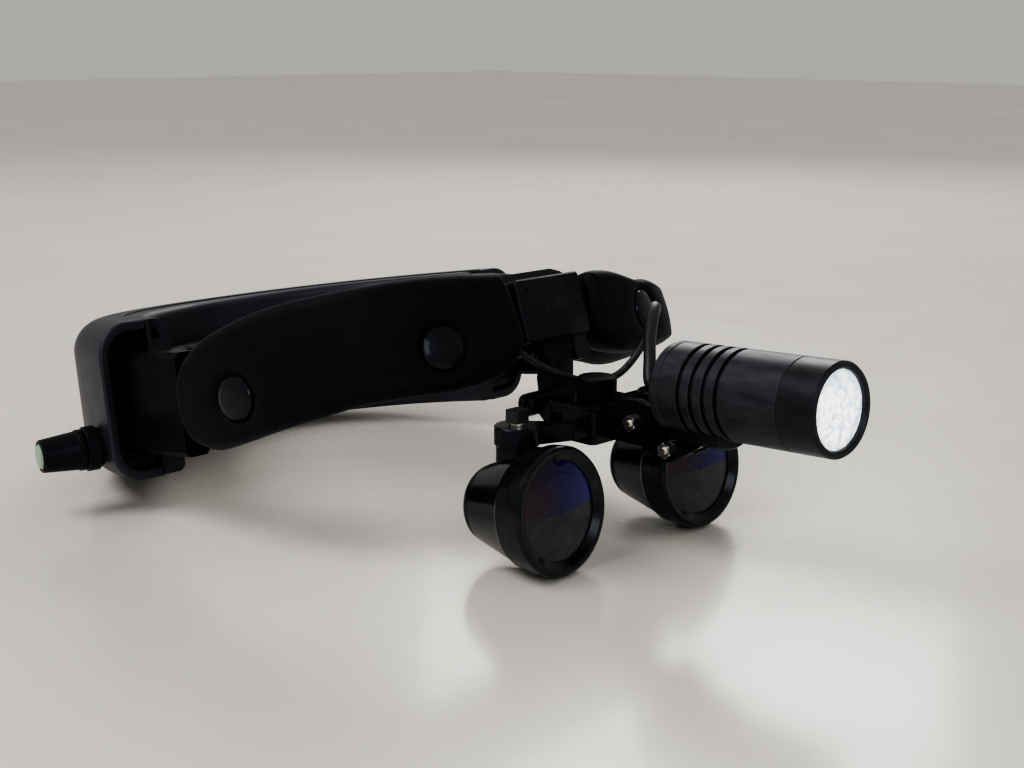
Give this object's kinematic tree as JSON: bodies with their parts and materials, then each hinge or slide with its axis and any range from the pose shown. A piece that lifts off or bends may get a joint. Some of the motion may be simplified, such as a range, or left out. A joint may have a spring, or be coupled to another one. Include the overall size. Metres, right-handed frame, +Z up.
{
  "type": "dental loupes",
  "caption": "Head-worn dental loupes: padded head ring with rear battery housing, tilting spacing bridge with oculars, and a lamp on a jointed arm.",
  "frame": {"origin": "where the centre line of the head opening meets the surface the loupes rest on", "axes": "+X is the wearer's left, -Y is the way the lamp and oculars point, +Z is up from the resting surface; the padded front of the head ring leans back by 19.4 degrees about X, the rear housing by 8.5 degrees"},
  "size_m": [0.195, 0.2829, 0.0815],
  "materials": {
    "foam": "fine soft skin",
    "band_plastic": "satin",
    "gloss_black": "gloss",
    "box_plastic": "worn satin",
    "knob_plastic": "ribbed satin",
    "housing_plastic": "fine matt",
    "guide_plastic": "satin",
    "barrel_black": "gloss",
    "coated_glass": "coated",
    "lamp_anodised": "black anodised",
    "lamp_glow": "lit",
    "led": "gloss",
    "reflector": "polished",
    "heat_sink": "plain",
    "nickel": "bright",
    "black_screw": "black oxide",
    "brass": "plain",
    "cable_pvc": "soft",
    "cell_wrap": "wrap",
    "board": "board",
    "control": "moulded",
    "socket_metal": "satin",
    "light_cap": "frosted"
  },
  "bodies": {
    "headband": {"headband_strip": "band_plastic", "left_strap": "gloss_black", "right_strap": "gloss_black", "left_side_pad": "foam", "right_side_pad": "foam", "temple_pads": "foam", "forehead_pad": "foam", "pad_snap_buttons": "gloss_black", "mount_box": "box_plastic", "mount_box_cover": "box_plastic", "mount_back_plate": "band_plastic", "mount_box_screws": "nickel", "lamp_cable": "cable_pvc"},
    "post": {"slide_post": "gloss_black"},
    "bridge": {"bridge_body": "gloss_black", "bridge_bottom_plate": "gloss_black", "bridge_top_plate": "gloss_black", "tilt_hinge_screw": "black_screw", "lamp_arm_bolt": "nickel"},
    "spacing": {"spacing_pinion": "brass", "spacing_knob": "knob_plastic"},
    "right_arm": {"right_arm": "gloss_black"},
    "left_arm": {"left_arm": "gloss_black"},
    "right_ocular": {"right_ocular_bezel": "barrel_black", "right_ocular_objective_lens": "coated_glass", "right_ocular_barrel": "barrel_black", "right_ocular_eyepiece_ring": "barrel_black", "right_ocular_eyepiece_lens": "coated_glass", "right_ocular_stem": "gloss_black", "right_ocular_pivot_nut": "nickel"},
    "left_ocular": {"left_ocular_bezel": "barrel_black", "left_ocular_objective_lens": "coated_glass", "left_ocular_barrel": "barrel_black", "left_ocular_eyepiece_ring": "barrel_black", "left_ocular_eyepiece_lens": "coated_glass", "left_ocular_stem": "gloss_black", "left_ocular_pivot_nut": "nickel"},
    "lamp_arm": {"lamp_arm_link": "gloss_black"},
    "lamp": {"lamp_tilt_bolt": "nickel", "lamp_rear_cap": "lamp_anodised", "lamp_body": "lamp_anodised", "lamp_bezel": "lamp_anodised", "lamp_lens": "lamp_glow", "lamp_reflector": "reflector", "lamp_heat_sink": "heat_sink", "lamp_led_module": "led", "lamp_strain_relief": "cable_pvc", "lamp_saddle": "gloss_black", "lamp_cable_sleeve": "cable_pvc"},
    "rear_housing": {"rear_housing_shell": "housing_plastic", "rear_housing_cover": "housing_plastic", "strap_guides": "guide_plastic", "rear_pad": "foam", "battery_cells": "cell_wrap", "control_board": "board", "dimmer_control": "control", "charge_socket": "socket_metal", "dimmer_collar": "knob_plastic"},
    "dimmer": {"dimmer_knob": "knob_plastic", "knob_light_cap": "light_cap"}
  },
  "joints": [
    {"name": "head_size_slide", "type": "slide", "parent": "headband", "child": "rear_housing", "axis": [0, 0.989, -0.1478], "range_m": [0, 0.018]},
    {"name": "dimmer_turn", "type": "hinge", "parent": "rear_housing", "child": "dimmer", "pos_m": [-0.08683, 0.0562, 0.02018], "axis": [-0.9695, 0.2424, -0.0362], "range_deg": [0, 270]},
    {"name": "post_height", "type": "slide", "parent": "headband", "child": "post", "axis": [0, 0.3317, 0.9434], "range_m": [-0.01, 0.005]},
    {"name": "tilt_hinge", "type": "hinge", "parent": "post", "child": "bridge", "pos_m": [0, -0.05539, 0.03991], "axis": [1, 0, 0], "range_deg": [-35, 6], "deforming": ["lamp_cable", "lamp_cable_sleeve"]},
    {"name": "spacing_turn", "type": "hinge", "parent": "bridge", "child": "spacing", "pos_m": [0, -0.07038, 0.043], "axis": [0, 0, -1], "range_deg": [-60, 60]},
    {"name": "right_spacing_slide", "type": "slide", "parent": "bridge", "child": "right_arm", "axis": [-1, 0, 0], "range_m": [-0.00376, 0.00376]},
    {"name": "left_spacing_slide", "type": "slide", "parent": "bridge", "child": "left_arm", "axis": [1, 0, 0], "range_m": [-0.00376, 0.00376]},
    {"name": "right_ocular_turn", "type": "hinge", "parent": "right_arm", "child": "right_ocular", "pos_m": [-0.0307, -0.06828, 0.035], "axis": [0, 0, 1], "range_deg": [-5, 5]},
    {"name": "left_ocular_turn", "type": "hinge", "parent": "left_arm", "child": "left_ocular", "pos_m": [0.0307, -0.06828, 0.035], "axis": [0, 0, 1], "range_deg": [-5, 5]},
    {"name": "lamp_arm_hinge", "type": "hinge", "parent": "bridge", "child": "lamp_arm", "pos_m": [0, -0.08868, 0.0393], "axis": [1, 0, 0], "range_deg": [-15, 15]},
    {"name": "lamp_tilt_hinge", "type": "hinge", "parent": "lamp_arm", "child": "lamp", "pos_m": [0, -0.10128, 0.0339], "axis": [1, 0, 0], "range_deg": [-8, 20]}
  ],
  "couplings": [
    {"joint": "spacing_turn", "follows": "right_spacing_slide", "rad_per_m": 277.78},
    {"joint": "left_spacing_slide", "follows": "right_spacing_slide", "ratio": 1}
  ]
}
